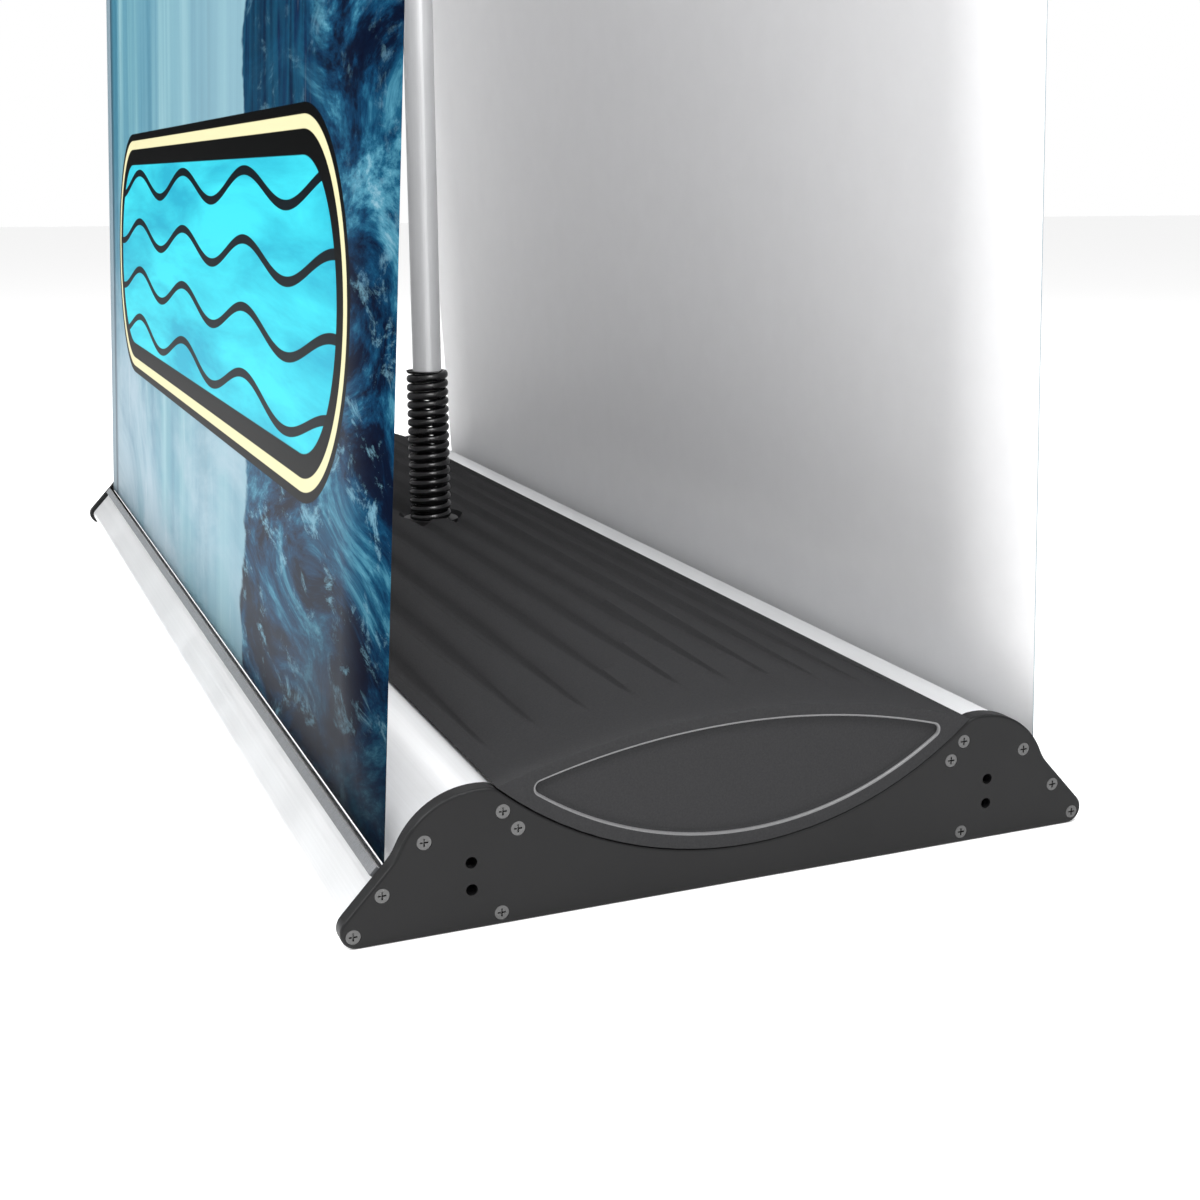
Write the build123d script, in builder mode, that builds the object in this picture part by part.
"""Double-sided roll-up banner stand with a water-filled base, a sprung telescopic mast
and one roller cassette on each long side.

Millimetres. X runs along the cassettes, Y from front to back, +Z up.
The origin is the middle of the base, on the floor."""

import os
from math import acos, atan2, cos, radians, sin, sqrt, tan

from build123d import *

os.makedirs("parts", exist_ok=True)

# ---- base -------------------------------------------------------------------------
base_length = 1220.0
plate_thickness = 10.0
plate_rim = 8.0          # solid border of an end plate round its hollow inner side
plate_web = 3.5          # outer wall of an end plate
plate_edge = 1.6         # rounding of the outer edge of an end plate
toe_y = 228.0            # centre of the rounded toe at the outer bottom edge
toe_radius = 9.5
ramp_angle = 47.0        # slope of the outer ramp above the floor
bump_y = 160.0           # centre of the round housing over the roller
bump_z = 31.5
bump_radius = 48.4
crease_radius = 30.0     # hollow between the ramp and the round housing
nose_radius = 12.0       # where the round housing turns down to the tank
cradle_radius = 228.0    # underside of the tank
cradle_low = 22.8
crown_radius = 466.0     # top of the tank
crown_height = 104.0
seam = 0.5               # joint between an end plate and the tank

# ---- cassettes --------------------------------------------------------------------
skin = 1.8               # wall of the aluminium sections
cassette_floor = 3.8
bump_inset = 1.8         # an end plate stands this far proud of the round housing
ramp_inset = 3.8         # and this far proud of the ramp
wall_foot_y = 143.0      # inner wall at the floor
wall_head_y = 133.0      # inner wall under the tank
wall_head_z = 60.0
slot_y = 209.3           # where the graphic leaves the cassette
slot_z = 38.0
slot_width = 6.5
slot_shift = -1.5        # the slot sits a little down the ramp from the graphic
screw_spots = [(146.7, 65.1), (138.2, 54.1), (190.8, 54.2), (214.4, 28.0), (230.7, 7.4), (148.2, 6.8)]
port_bosses = [7.4, 4.2, 7.2, 3.6, 3.2, 3.8]
port_hole = 1.7
screw_core = 1.65
screw_head = 4.05
screw_gap = 0.35          # open ring round a countersunk head
screw_head_depth = 2.4
screw_length = 26.0

# ---- rollers and graphics -----------------------------------------------------------
roller_y = 165.0
roller_z = 30.9
tension_hole_z = [38.7, 23.0]
tension_hole = 3.3
roller_half = 596.0
roller_radius = 16.0
roller_wall = 1.2
roll_radius = 17.5       # tube with the turns of graphic left on it when fully drawn
spindle_radius = 5.0
fit = 0.05               # radial clearance of a running fit
graphic_half = 595.5
graphic_thickness = 0.5
rail_y = 100.0           # plane of the graphic at the foot of the top rail
rail_foot_z = 1972.0

# ---- mast ---------------------------------------------------------------------------
well_radius = 22.0
beam_top = 19.0
beam_steel = 3.0
beam_width = 60.0
beam_stations = {"left": -400.0, "centre": 0.0, "right": 400.0}
bolt_radius = 2.0        # M4 bolts that tie the beams to the cassettes
bolt_head = 3.4
bolt_z = 14.0
bolt_offsets = [-18.0, 18.0]
beam_half = 139.8
anchor_radius = 10.0
anchor_bolt = 6.0
seat_z = 97.0            # recess in the tank round the foot of the spring
spring_foot = 100.0
spring_head = 231.0
spring_outer = 18.25
wire_radius = 3.65
coil_pitch = 7.7
stub_radius = 12.5
joint_z = 259.0
tube_wall = 1.2
tube_radii = [12.5, 11.0, 9.5]
tube_spans = [(259.0, 900.0), (820.0, 1450.0), (1370.0, 1985.0)]
collar_radius = 17.0
collar_height = 44.0
collar_drop = 30.0       # how far a collar reaches down its tube

# ---- tank ---------------------------------------------------------------------------
tank_wall = 3.0
groove_pitch = 30.7
groove_count = 10
groove_radius = 9.0
groove_depth = 1.6
groove_margin = 52.0
end_recess = 3.0
recess_radius = 28.0     # pocket in the crown round the foot of the spring
filler_x = -485.0
neck_radius = 24.0
neck_bore = 20.0
neck_top = 112.0
cap_radius = 29.0
cap_top = 121.0

# ---- cross-bar and top rails ----------------------------------------------------------
bar_z = 1997.0
bar_radius = 8.0
hub_radius = 14.0
bar_wall = 1.5
bar_half = 80.0
rail_half = 598.0
rail_height = 34.0
rail_back = 5.5          # the rail behind the graphic, and the clip in front of it
clip_front = 4.5
rail_gap = 0.6
graphic_top = 1996.0
graphic_foot = 44.0

half = base_length / 2
inner_half = half - plate_thickness
cradle_z = cradle_low + cradle_radius
crown_z = crown_height - crown_radius
ramp = radians(ramp_angle)
toe_point = toe_y + toe_radius / tan(ramp / 2)
lean = (slot_y - rail_y) / (rail_foot_z - slot_z)


def finish(part, name):
    """Name a finished piece and write it."""
    part.label = name
    export_step(part, f"parts/{name}.step")


def near(sketch, y, z):
    """The corner of a section nearest to a point."""
    return sketch.vertices().sort_by(lambda v: (v.X - y) ** 2 + (v.Y - z) ** 2)[0]


def ramp_y(inset, z):
    """How far out the ramp is at a height, with its face set in by some amount."""
    return toe_point - inset / sin(ramp) - z / tan(ramp)


def crown_at(y):
    """Height of the top of the tank."""
    return crown_z + sqrt(crown_radius**2 - y**2)


def housing_outline(bump, inset, floor, cradle):
    """Section of the whole base: wedge with ramps and toes, two round housings, and the
    cradle for the tank scooped out between them. Sections are drawn flat, across the
    page for Y and up the page for Z, and then placed on their plane."""
    top = bump_z + 17
    with BuildSketch(mode=Mode.PRIVATE) as outline:
        with BuildLine():
            Polyline(
                (-ramp_y(inset, floor), floor), (ramp_y(inset, floor), floor),
                (ramp_y(inset, top), top), (bump_y, bump_z + 40), (-bump_y, bump_z + 40),
                (-ramp_y(inset, top), top), close=True,
            )
        make_face()
        fillet(outline.vertices().group_by(Axis.Y)[0], toe_radius - floor)
        with Locations((-bump_y, bump_z), (bump_y, bump_z)):
            Circle(bump_radius - bump)
        with Locations((0, floor)):
            Rectangle(4 * toe_y, 200, align=(Align.CENTER, Align.MAX), mode=Mode.SUBTRACT)
        with Locations((0, cradle_z)):
            Circle(cradle, mode=Mode.SUBTRACT)
    return outline.sketch


# ---- end plates -----------------------------------------------------------------------
with BuildSketch() as plate_section:
    add(housing_outline(0, 0, 0, cradle_radius + seam))
    for side in (-1, 1):
        fillet(near(plate_section, side * 207, 46), crease_radius)
        fillet(near(plate_section, side * 148, 77), nose_radius)

all_spots = [(side * y, z) for side in (-1, 1) for y, z in screw_spots]
tension_spots = [(side * roller_y, z) for side in (-1, 1) for z in tension_hole_z]

with BuildPart() as right_end_plate:
    with BuildSketch(Plane.YZ.offset(inner_half)):
        add(plate_section.sketch)
    extrude(amount=plate_thickness)
    outer_face = right_end_plate.faces().sort_by(Axis.X)[-1]
    fillet(outer_face.outer_wire().edges(), plate_edge)
    with BuildSketch(Plane.YZ.offset(inner_half)):
        add(housing_outline(plate_rim, plate_rim, plate_rim, cradle_radius + seam + plate_rim))
        with Locations(*all_spots):
            Circle(6.5, mode=Mode.SUBTRACT)
    extrude(amount=plate_thickness - plate_web, mode=Mode.SUBTRACT)
    with BuildSketch(Plane.YZ.offset(inner_half)):
        with Locations(*all_spots):
            Circle(screw_core + 0.35)
        with Locations(*tension_spots):
            Circle(tension_hole)
    extrude(amount=plate_thickness, mode=Mode.SUBTRACT)
    for y, z in all_spots:
        with Locations(Plane((half, y, z), x_dir=(0, 1, 0), z_dir=(1, 0, 0))):
            CounterSinkHole(screw_core + 0.35, screw_head + screw_gap, counter_sink_angle=90)
finish(right_end_plate.part, "right_end_plate")

with BuildPart() as left_end_plate:
    add(mirror(right_end_plate.part, about=Plane.YZ, mode=Mode.PRIVATE))
finish(left_end_plate.part, "left_end_plate")


# ---- end plate screws -------------------------------------------------------------------
with BuildPart() as right_end_screws:
    for y, z in all_spots:
        spot = Plane((half - 0.25, y, z), x_dir=(0, 1, 0), z_dir=(1, 0, 0))
        with BuildSketch(spot):
            Circle(screw_head)
        extrude(amount=-screw_head_depth, taper=45)
        with BuildSketch(spot):
            Circle(screw_core)
        extrude(amount=-screw_length)
        with BuildSketch(spot):
            Rectangle(4.6, 0.9)
            Rectangle(0.9, 4.6)
        extrude(amount=-1.4, mode=Mode.SUBTRACT)
finish(right_end_screws.part, "right_end_screws")

with BuildPart() as left_end_screws:
    add(mirror(right_end_screws.part, about=Plane.YZ, mode=Mode.PRIVATE))
finish(left_end_screws.part, "left_end_screws")


# ---- cassettes: one aluminium section each, open at the slot ------------------------------
slot_plane = Plane(
    origin=(-inner_half, slot_y, slot_z), x_dir=(0, -cos(ramp), sin(ramp)), z_dir=(1, 0, 0)
)


def cassette_shape(inset):
    """Rear half of the base section, closed by the inner wall, thinned by some amount."""
    foot = wall_foot_y + inset
    head = wall_head_y + inset
    cradle = cradle_radius + 0.3 + inset
    with BuildSketch(mode=Mode.PRIVATE) as shape:
        add(housing_outline(bump_inset + inset, ramp_inset + inset, cassette_floor + inset, cradle))
        with BuildLine():
            Polyline((foot, -5), (foot, cassette_floor), (head, wall_head_z), (head, 100),
                     (-300, 100), (-300, -5), close=True)
        make_face(mode=Mode.SUBTRACT)
    return shape.sketch


with BuildSketch() as cassette_section:
    add(cassette_shape(0))
    add(cassette_shape(skin), mode=Mode.SUBTRACT)
    for spot, boss in zip(screw_spots, port_bosses):
        with Locations(spot):
            Circle(boss)
    add(cassette_shape(0), mode=Mode.INTERSECT)
    with Locations(*screw_spots):
        Circle(port_hole, mode=Mode.SUBTRACT)

with BuildPart() as rear_cassette:
    with BuildSketch(Plane.YZ.offset(-inner_half)):
        add(cassette_section.sketch)
    extrude(amount=2 * inner_half)
    with BuildSketch(slot_plane):
        with Locations((slot_shift, 0)):
            Rectangle(slot_width, 12)
    extrude(amount=2 * inner_half, mode=Mode.SUBTRACT)
    for station in beam_stations.values():
        with Locations(*[(station + x, wall_foot_y - 2, bolt_z) for x in bolt_offsets]):
            Cylinder(bolt_radius + 0.1, 8, rotation=(90, 0, 0), mode=Mode.SUBTRACT)
finish(rear_cassette.part, "rear_cassette")

with BuildPart() as front_cassette:
    add(mirror(rear_cassette.part, about=Plane.XZ, mode=Mode.PRIVATE))
finish(front_cassette.part, "front_cassette")


# ---- soft strips, feet and leaders ----------------------------------------------------------
with BuildPart() as rear_wiper:
    with BuildSketch(slot_plane.offset(2)):
        with Locations((-4.6, -3.3)):
            Rectangle(6.0, 2.6)
    extrude(amount=2 * inner_half - 4)
finish(rear_wiper.part, "rear_wiper")

with BuildPart() as front_wiper:
    add(mirror(rear_wiper.part, about=Plane.XZ, mode=Mode.PRIVATE))
finish(front_wiper.part, "front_wiper")

foot_size = (60.0, 30.0)
with BuildPart() as rubber_feet:
    with BuildSketch(Plane.XY):
        with GridLocations(1000, 370, 2, 2):
            RectangleRounded(*foot_size, 6)
        with Locations((0, -185), (0, 185)):
            RectangleRounded(*foot_size, 6)
    extrude(amount=cassette_floor)
finish(rubber_feet.part, "rubber_feet")

# the leader leaves the underside of the roll and runs straight to the slot
reach = sqrt((slot_y - roller_y) ** 2 + (slot_z - roller_z) ** 2)
wrap = roll_radius + 0.35 + graphic_thickness / 2
touch = atan2(slot_z - roller_z, slot_y - roller_y) - acos(wrap / reach)
touch_spot = (roller_y + wrap * cos(touch), roller_z + wrap * sin(touch))
with BuildPart() as rear_leader:
    with BuildSketch(Plane.YZ.offset(-graphic_half)):
        with BuildLine():
            Line(touch_spot, (slot_y, slot_z))
            offset(amount=graphic_thickness / 2, side=Side.BOTH, kind=Kind.INTERSECTION)
        make_face()
    extrude(amount=2 * graphic_half)
finish(rear_leader.part, "rear_leader")

with BuildPart() as front_leader:
    add(mirror(rear_leader.part, about=Plane.XZ, mode=Mode.PRIVATE))
finish(front_leader.part, "front_leader")


# ---- rollers ----------------------------------------------------------------------------------
plug_flange = 1.6
block_size = 26.0
block_half = inner_half + plate_thickness - plate_web
spindle_reach = {"left": 320.0, "right": 34.0}

for row, row_y in (("front", -roller_y), ("rear", roller_y)):
    start = Plane((-roller_half, row_y, roller_z), x_dir=(0, 1, 0), z_dir=(1, 0, 0))
    with BuildPart() as roller_tube:
        with BuildSketch(start):
            Circle(roller_radius)
            Circle(roller_radius - roller_wall, mode=Mode.SUBTRACT)
        extrude(amount=2 * roller_half)
    finish(roller_tube.part, f"{row}_roller_tube")

    with BuildPart() as banner_roll:
        with BuildSketch(start.offset(roller_half - graphic_half)):
            Circle(roll_radius)
            Circle(roller_radius + 0.02, mode=Mode.SUBTRACT)
        extrude(amount=2 * graphic_half)
    finish(banner_roll.part, f"{row}_banner_roll")

    for end, sign in (("left", -1), ("right", 1)):
        face = Plane((sign * roller_half, row_y, roller_z), x_dir=(0, 1, 0), z_dir=(sign, 0, 0))
        with BuildPart() as plug:
            with BuildSketch(face):
                Circle(roller_radius + 1.2)
            extrude(amount=plug_flange)
            with BuildSketch(face):
                Circle(roller_radius - roller_wall)
            extrude(amount=-22)
            with BuildSketch(face.offset(plug_flange)):
                Circle(spindle_radius + fit)
            extrude(amount=-22 - plug_flange, mode=Mode.SUBTRACT)
        finish(plug.part, f"{row}_{end}_plug")

        with BuildPart() as spindle:
            with BuildSketch(Plane((sign * block_half, row_y, roller_z), x_dir=(0, 1, 0), z_dir=(-sign, 0, 0))):
                Circle(spindle_radius)
            extrude(amount=block_half - roller_half + spindle_reach[end])
        finish(spindle.part, f"{row}_{end}_spindle")

    spring_from = -roller_half + 40
    with BuildPart() as roller_spring:
        with BuildSketch(Plane((spring_from, row_y, roller_z), x_dir=(0, 1, 0), z_dir=(1, 0, 0))):
            Circle(spindle_radius + 3.4)
            Circle(spindle_radius + 1.2, mode=Mode.SUBTRACT)
        extrude(amount=spindle_reach["left"] - 60)
    finish(roller_spring.part, f"{row}_roller_spring")

with BuildPart() as bearing_blocks:
    for sign in (-1, 1):
        for row_y in (-roller_y, roller_y):
            back = Plane((sign * block_half, row_y, roller_z), x_dir=(0, 1, 0), z_dir=(-sign, 0, 0))
            with BuildSketch(back):
                RectangleRounded(block_size, block_size, 4)
                Circle(spindle_radius, mode=Mode.SUBTRACT)
                with Locations(*[(0, z - roller_z) for z in tension_hole_z]):
                    Circle(tension_hole, mode=Mode.SUBTRACT)
            extrude(amount=plate_thickness - plate_web + 1.2)
finish(bearing_blocks.part, "bearing_blocks")


# ---- tank ---------------------------------------------------------------------------------------
def lens(crown_inset, cradle_inset, tip=1.2):
    """Section of the tank: crown above, cradle arc below, both set in by some amount."""
    with BuildSketch(mode=Mode.PRIVATE) as section:
        with Locations((0, cradle_z)):
            Circle(cradle_radius - cradle_inset)
        with Locations((0, crown_z)):
            Circle(crown_radius - crown_inset, mode=Mode.INTERSECT)
        fillet(section.vertices(), tip)
    return section.sketch


with BuildPart(mode=Mode.PRIVATE) as tank_cavity:
    with BuildSketch(Plane.YZ.offset(-half + tank_wall + end_recess)):
        add(lens(tank_wall, tank_wall))
    extrude(amount=base_length - 2 * (tank_wall + end_recess))
    with BuildSketch():
        Circle(well_radius + tank_wall)
    extrude(amount=crown_height, mode=Mode.SUBTRACT)
    with BuildSketch(Plane.XY.offset(seat_z - tank_wall)):
        Circle(recess_radius + tank_wall)
    extrude(amount=crown_height, mode=Mode.SUBTRACT)
    with BuildSketch(Plane.XY.offset(crown_height - 12)):
        with Locations((filler_x, 0)):
            Circle(neck_bore)
    extrude(amount=neck_top - crown_height + 12)

groove_half = half - groove_margin
grooves = [(k - (groove_count - 1) / 2) * groove_pitch for k in range(groove_count)]
with BuildPart() as water_tank:
    with BuildSketch(Plane.YZ.offset(-half)):
        add(lens(0, 0))
    extrude(amount=base_length)
    for end_face in (water_tank.faces().sort_by(Axis.X)[0], water_tank.faces().sort_by(Axis.X)[-1]):
        fillet(end_face.edges().sort_by(Axis.Z)[-1:], 0.9)
    with BuildSketch(Plane.YZ.offset(-groove_half)):
        for y in grooves:
            with Locations((y, crown_at(y) + groove_radius - groove_depth)):
                Circle(groove_radius)
    extrude(amount=2 * groove_half, mode=Mode.SUBTRACT)
    for x in (-half, half - end_recess):
        with BuildSketch(Plane.YZ.offset(x)):
            add(lens(6.5, 8.0, 5.0))
        extrude(amount=end_recess, mode=Mode.SUBTRACT)
    with BuildSketch(Plane.XY.offset(crown_height - 6)):
        with Locations((filler_x, 0)):
            Circle(neck_radius)
    extrude(amount=neck_top - crown_height + 6)
    with BuildSketch():
        Circle(well_radius)
    extrude(amount=crown_height, mode=Mode.SUBTRACT)
    with BuildSketch(Plane.XY.offset(seat_z)):
        Circle(recess_radius)
    extrude(amount=crown_height, mode=Mode.SUBTRACT)
    add(tank_cavity.part, mode=Mode.SUBTRACT)
finish(water_tank.part, "water_tank")

cap_foot = crown_height + 1.5
seal_height = 2.0
with BuildPart() as filler_cap:
    with BuildSketch(Plane.XY.offset(cap_foot)):
        with Locations((filler_x, 0)):
            Circle(cap_radius)
            with PolarLocations(cap_radius, 16):
                Circle(1.6, mode=Mode.SUBTRACT)
    extrude(amount=cap_top - cap_foot)
    chamfer(filler_cap.faces().sort_by(Axis.Z)[-1].edges(), 0.8)
    with BuildSketch(Plane.XY.offset(cap_foot)):
        with Locations((filler_x, 0)):
            Circle(neck_radius + 0.4)
    extrude(amount=neck_top + seal_height - cap_foot, mode=Mode.SUBTRACT)
finish(filler_cap.part, "filler_cap")

with BuildPart() as cap_seal:
    with BuildSketch(Plane.XY.offset(neck_top + 0.05)):
        with Locations((filler_x, 0)):
            Circle(neck_radius)
            Circle(neck_bore, mode=Mode.SUBTRACT)
    extrude(amount=seal_height - 0.1)
finish(cap_seal.part, "cap_seal")


# ---- cross beams under the tank -----------------------------------------------------------------
for place, station in beam_stations.items():
    with BuildPart() as cross_beam:
        with BuildSketch(Plane.XY.offset(cassette_floor)):
            with Locations((station, 0)):
                Rectangle(beam_width, 2 * beam_half)
        extrude(amount=beam_top - cassette_floor)
        with BuildSketch(Plane.XY.offset(cassette_floor)):
            with Locations((station, 0)):
                Rectangle(beam_width - 2 * beam_steel, 2 * (beam_half - beam_steel))
        extrude(amount=beam_top - beam_steel - cassette_floor, mode=Mode.SUBTRACT)
        fillet(cross_beam.edges().filter_by(Axis.Y).group_by(Axis.Z)[-1], 2.0)
        with Locations(*[(station + x, 0, bolt_z) for x in bolt_offsets]):
            Cylinder(bolt_radius + fit, 300, rotation=(90, 0, 0), mode=Mode.SUBTRACT)
        if station == 0:
            with Locations((0, 0, beam_top)):
                Cylinder(anchor_bolt + 0.2, 20, mode=Mode.SUBTRACT)
    finish(cross_beam.part, f"{place}_cross_beam")

with BuildPart() as cross_beam_bolts:
    for sign in (-1, 1):
        for x in [station + x for station in beam_stations.values() for x in bolt_offsets]:
            seat = Plane((x, sign * (wall_foot_y + 1.45), bolt_z), x_dir=(1, 0, 0), z_dir=(0, sign, 0))
            with BuildSketch(seat):
                Circle(bolt_head)
            extrude(amount=2.6)
            with BuildSketch(seat):
                Circle(bolt_radius)
            extrude(amount=-12)
finish(cross_beam_bolts.part, "cross_beam_bolts")

saddle_inner = 40.0
saddle_outer = 92.0
with BuildPart() as tank_saddles:
    for station in beam_stations.values():
        with BuildSketch(Plane.YZ.offset(station - 20)):
            for sign in (-1, 1):
                with Locations((sign * (saddle_inner + saddle_outer) / 2, beam_top)):
                    Rectangle(saddle_outer - saddle_inner, 40, align=(Align.CENTER, Align.MIN))
            with Locations((0, cradle_z)):
                Circle(cradle_radius + fit, mode=Mode.SUBTRACT)
        extrude(amount=40)
finish(tank_saddles.part, "tank_saddles")


# ---- anchor, spring and stub ----------------------------------------------------------------------
plug_radius = spring_outer - 2 * wire_radius - 0.15
with BuildPart() as mast_anchor:
    for low, high, radius in (
        (beam_top, beam_top + 4, 17.0), (beam_top + 4, seat_z, anchor_radius),
        (seat_z, spring_foot, 24.0), (spring_foot, spring_foot + 24, plug_radius),
    ):
        with BuildSketch(Plane.XY.offset(low)):
            Circle(radius)
        extrude(amount=high - low)
    with BuildSketch(Plane.XY.offset(beam_top)):
        Circle(anchor_bolt)
    extrude(amount=44, mode=Mode.SUBTRACT)
    chamfer(mast_anchor.faces().sort_by(Axis.Z)[-1].edges(), 1.0)
finish(mast_anchor.part, "mast_anchor")

with BuildPart() as anchor_bolt_part:
    with BuildSketch(Plane.XY.offset(beam_top - beam_steel)):
        RegularPolygon(anchor_bolt * 1.6, 6)
    extrude(amount=-7.5)
    with BuildSketch(Plane.XY.offset(beam_top - beam_steel)):
        Circle(anchor_bolt - fit)
    extrude(amount=44)
finish(anchor_bolt_part.part, "anchor_bolt")

with BuildPart() as mast_spring:
    with BuildLine():
        coil = Helix(coil_pitch, spring_head - spring_foot, spring_outer - wire_radius,
                     center=(0, 0, spring_foot))
    with BuildSketch(Plane(coil @ 0, z_dir=coil % 0)):
        Circle(wire_radius)
    sweep(is_frenet=True)
    for z, way in ((spring_foot, Align.MAX), (spring_head, Align.MIN)):
        with Locations((0, 0, z)):
            Box(60, 60, 20, align=(Align.CENTER, Align.CENTER, way), mode=Mode.SUBTRACT)
finish(mast_spring.part, "mast_spring")

with BuildPart() as mast_stub:
    for low, high, radius in (
        (spring_head - 24, spring_head, plug_radius), (spring_head, joint_z, stub_radius),
        (joint_z, joint_z + 46, tube_radii[0] - tube_wall - fit),
    ):
        with BuildSketch(Plane.XY.offset(low)):
            Circle(radius)
        extrude(amount=high - low)
    chamfer(mast_stub.faces().sort_by(Axis.Z)[-1].edges(), 1.5)
finish(mast_stub.part, "mast_stub")


# ---- telescopic tubes, their foot bushes, collets and twist collars ----------------------------------
tube_names = ["lower", "middle", "upper"]
for name, radius, (low, high) in zip(tube_names, tube_radii, tube_spans):
    with BuildPart() as tube:
        with BuildSketch(Plane.XY.offset(low)):
            Circle(radius)
            Circle(radius - tube_wall, mode=Mode.SUBTRACT)
        extrude(amount=high - low)
    finish(tube.part, f"mast_{name}_tube")

bush_height = 12.0
for name, outer, inner, (low, high) in zip(tube_names[1:], tube_radii, tube_radii[1:], tube_spans[1:]):
    with BuildPart() as foot_bush:
        with BuildSketch(Plane.XY.offset(low - bush_height)):
            Circle(outer - tube_wall - fit)
        extrude(amount=bush_height)
        with BuildSketch(Plane.XY.offset(low)):
            Circle(inner - tube_wall)
        extrude(amount=bush_height)
        with BuildSketch(Plane.XY.offset(low - bush_height)):
            Circle(inner - tube_wall - 2)
        extrude(amount=2 * bush_height, mode=Mode.SUBTRACT)
    finish(foot_bush.part, f"{name}_foot_bush")

collet_height = 10.0
grip_ribs = 18
for name, radius, inner, (low, high) in zip(tube_names, tube_radii, tube_radii[1:], tube_spans):
    with BuildPart() as collet:
        with BuildSketch(Plane.XY.offset(high)):
            Circle(radius)
            Circle(inner + fit, mode=Mode.SUBTRACT)
        extrude(amount=collet_height)
        with BuildSketch(Plane.XY.offset(high + 2)):
            with PolarLocations(radius, 4):
                Rectangle(2 * radius, 1.2)
        extrude(amount=collet_height, mode=Mode.SUBTRACT)
    finish(collet.part, f"{name}_collet")

    shell = radius + collar_radius - tube_radii[0]
    foot = high - collar_drop
    with BuildPart() as collar:
        with BuildSketch(Plane.XY.offset(foot)):
            Circle(shell)
            with PolarLocations(shell + 0.4, grip_ribs):
                Circle(1.3, mode=Mode.SUBTRACT)
        extrude(amount=collar_height)
        chamfer(collar.faces().sort_by(Axis.Z)[-1].edges(), 0.7)
        chamfer(collar.faces().sort_by(Axis.Z)[0].edges(), 0.7)
        with BuildSketch(Plane.XY.offset(foot)):
            Circle(radius + fit)
        extrude(amount=collar_drop + collet_height + 0.4, mode=Mode.SUBTRACT)
        with BuildSketch(Plane.XY.offset(foot)):
            Circle(inner + 0.35)
        extrude(amount=collar_height, mode=Mode.SUBTRACT)
    finish(collar.part, f"{name}_twist_collar")


# ---- cross-bar, hooks and top rails -------------------------------------------------------------------
tube_top = tube_spans[-1][1]
bar_plane = Plane((0, -bar_half, bar_z), x_dir=(1, 0, 0), z_dir=(0, 1, 0))
with BuildPart() as crossbar:
    with BuildSketch(bar_plane):
        Circle(bar_radius)
        Circle(bar_radius - bar_wall, mode=Mode.SUBTRACT)
    extrude(amount=2 * bar_half)
finish(crossbar.part, "crossbar")

hub_half = 24.0
hub_foot = tube_top - 17
with BuildPart() as crossbar_hub:
    with BuildSketch(Plane.XY.offset(hub_foot)):
        Circle(hub_radius)
    extrude(amount=bar_z - hub_foot)
    with BuildSketch(bar_plane.offset(bar_half - hub_half)):
        Circle(hub_radius - 1.5)
    extrude(amount=2 * hub_half)
    with BuildSketch(Plane.XY.offset(hub_foot)):
        Circle(tube_radii[-1] + fit)
    extrude(amount=tube_top - hub_foot, mode=Mode.SUBTRACT)
    with BuildSketch(bar_plane):
        Circle(bar_radius + fit)
    extrude(amount=2 * bar_half, mode=Mode.SUBTRACT)
    with Locations((0, 0, bar_z + bar_radius)):
        Cylinder(2.1, 12, mode=Mode.SUBTRACT)
finish(crossbar_hub.part, "crossbar_hub")

with BuildPart() as hub_screw:
    with BuildSketch(Plane.XY.offset(bar_z + hub_radius - 1.5)):
        Circle(3.8)
    extrude(amount=2.2)
    with BuildSketch(Plane.XY.offset(bar_z + bar_radius + fit)):
        Circle(2.0)
    extrude(amount=hub_radius - 1.5 - bar_radius)
    with BuildSketch(Plane.XY.offset(bar_z + hub_radius + 0.7)):
        RegularPolygon(1.6, 6)
    extrude(amount=-1.4, mode=Mode.SUBTRACT)
finish(hub_screw.part, "hub_screw")

rail_face = rail_y - rail_gap / 2
rib_foot = rail_face - rail_back
rib_stem = 4.0
rib_head = 2.0


def rib(clearance):
    """T-shaped rib on the back of a top rail that its hook slides onto."""
    with BuildSketch(mode=Mode.PRIVATE) as section:
        with Locations((rib_foot + 0.2, bar_z)):
            Rectangle(rib_stem + 0.4, 3 + 2 * clearance, align=(Align.MAX, Align.CENTER))
        with Locations((rib_foot - rib_stem + clearance, bar_z)):
            Rectangle(rib_head + 2 * clearance, 13 + 2 * clearance, align=(Align.MAX, Align.CENTER))
    return section.sketch


with BuildPart() as rear_top_rail:
    with BuildSketch(Plane.YZ.offset(-rail_half)) as rail_section:
        with Locations((rail_face, rail_foot_z)):
            Rectangle(rail_back, rail_height, align=(Align.MAX, Align.MIN))
        fillet(rail_section.vertices().group_by(Axis.X)[0], 2.0)
        add(rib(0))
    extrude(amount=2 * rail_half)
finish(rear_top_rail.part, "rear_top_rail")

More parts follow.
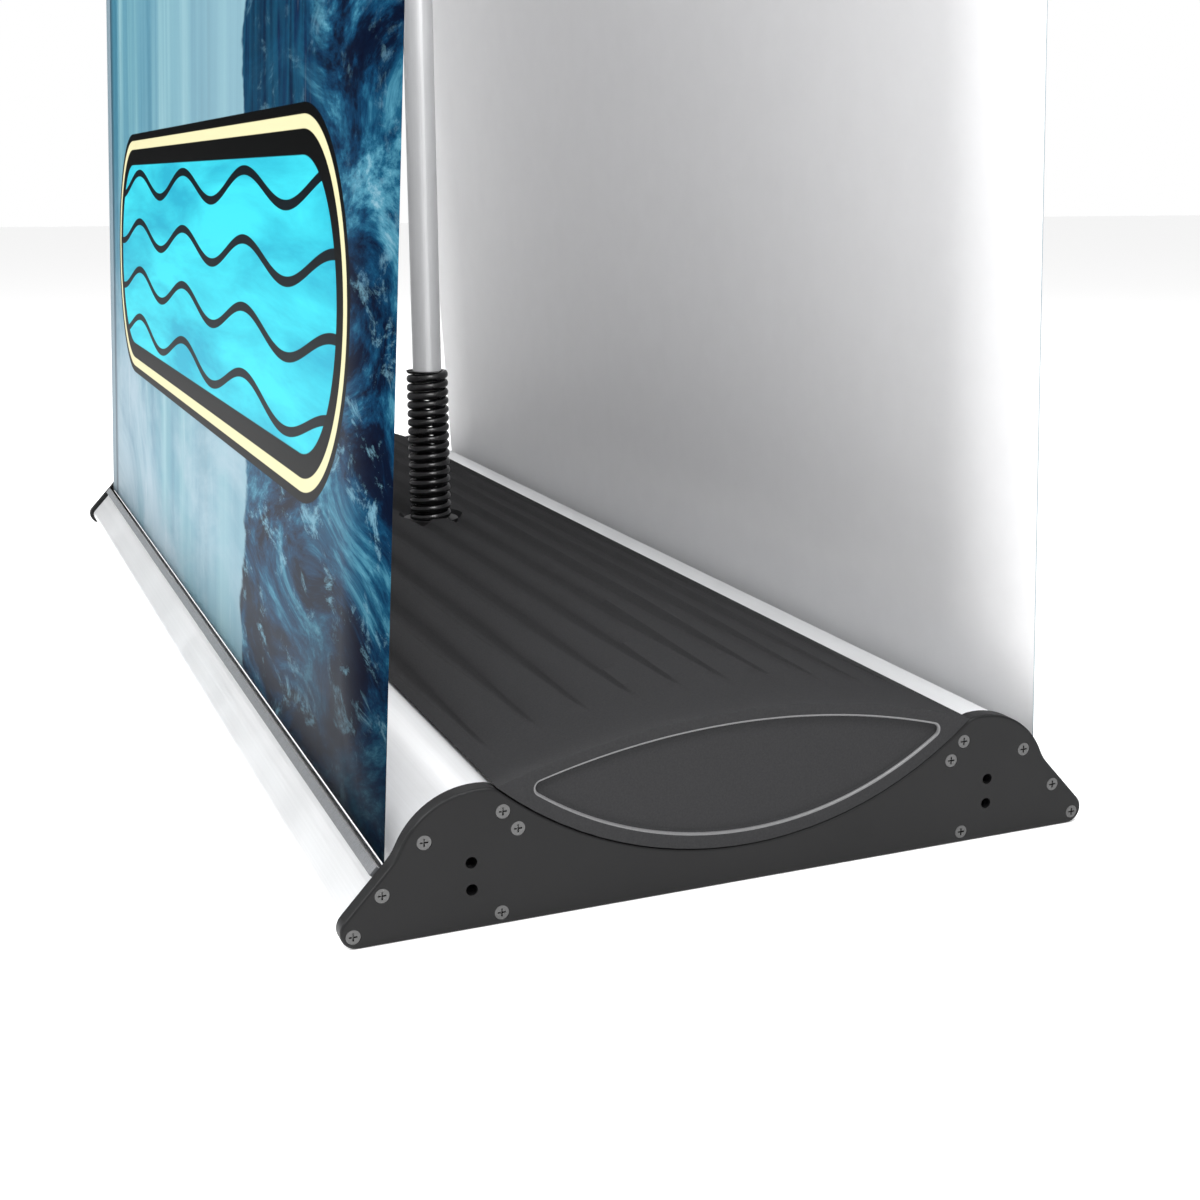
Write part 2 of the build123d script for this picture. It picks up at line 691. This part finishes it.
with BuildPart() as rear_rail_clip:
    with BuildSketch(Plane.YZ.offset(-rail_half)) as clip_section:
        with Locations((rail_face + rail_gap, rail_foot_z)):
            Rectangle(clip_front, rail_height, align=(Align.MIN, Align.MIN))
        fillet(clip_section.vertices().group_by(Axis.X)[-1], 3.0)
        with Locations((rail_face, rail_foot_z + rail_height)):
            Rectangle(rail_gap + 1, 6, align=(Align.MIN, Align.MAX))
    extrude(amount=2 * rail_half)
finish(rear_rail_clip.part, "rear_rail_clip")

hook_back = 82.0
with BuildPart() as rear_hook:
    with BuildSketch(Plane.YZ.offset(-14)) as hook_section:
        with Locations((hook_back, bar_z)):
            Rectangle(rib_foot - 0.1 - hook_back, 23, align=(Align.MIN, Align.CENTER))
        fillet(hook_section.vertices().group_by(Axis.X)[0], 4.0)
        add(rib(0.1), mode=Mode.SUBTRACT)
    extrude(amount=28)
    with BuildSketch(Plane((0, hook_back, bar_z), x_dir=(1, 0, 0), z_dir=(0, -1, 0))):
        Circle(bar_radius - bar_wall - fit)
    extrude(amount=hook_back - 58)
    with BuildSketch(Plane((0, hook_back, bar_z), x_dir=(1, 0, 0), z_dir=(0, -1, 0))):
        Circle(bar_radius)
    extrude(amount=hook_back - bar_half)
finish(rear_hook.part, "rear_hook")

for name, twin in (("front_top_rail", rear_top_rail), ("front_rail_clip", rear_rail_clip),
                   ("front_hook", rear_hook)):
    with BuildPart() as piece:
        add(mirror(twin.part, about=Plane.XZ, mode=Mode.PRIVATE))
    finish(piece.part, name)

cap_thickness = 4.0
with BuildPart() as rail_end_caps:
    for x in (-rail_half - cap_thickness, rail_half):
        for sign in (-1, 1):
            with BuildSketch(Plane.YZ.offset(x)) as cap_section:
                with Locations((sign * (rail_y - 0.5), rail_foot_z + rail_height / 2)):
                    RectangleRounded(rail_back + clip_front + rail_gap + 1, rail_height + 1, 3)
            extrude(amount=cap_thickness)
finish(rail_end_caps.part, "rail_end_caps")


# ---- graphics ---------------------------------------------------------------------------------------
foot_y = slot_y - lean * (graphic_foot - slot_z)
for row, sign in (("front", -1), ("rear", 1)):
    with BuildPart() as graphic:
        with BuildSketch(Plane.YZ.offset(-graphic_half)):
            with BuildLine():
                Polyline((sign * foot_y, graphic_foot), (sign * rail_y, rail_foot_z),
                         (sign * rail_y, graphic_top))
                offset(amount=graphic_thickness / 2, side=Side.BOTH, kind=Kind.INTERSECTION)
            make_face()
        extrude(amount=2 * graphic_half)
    finish(graphic.part, f"{row}_graphic")
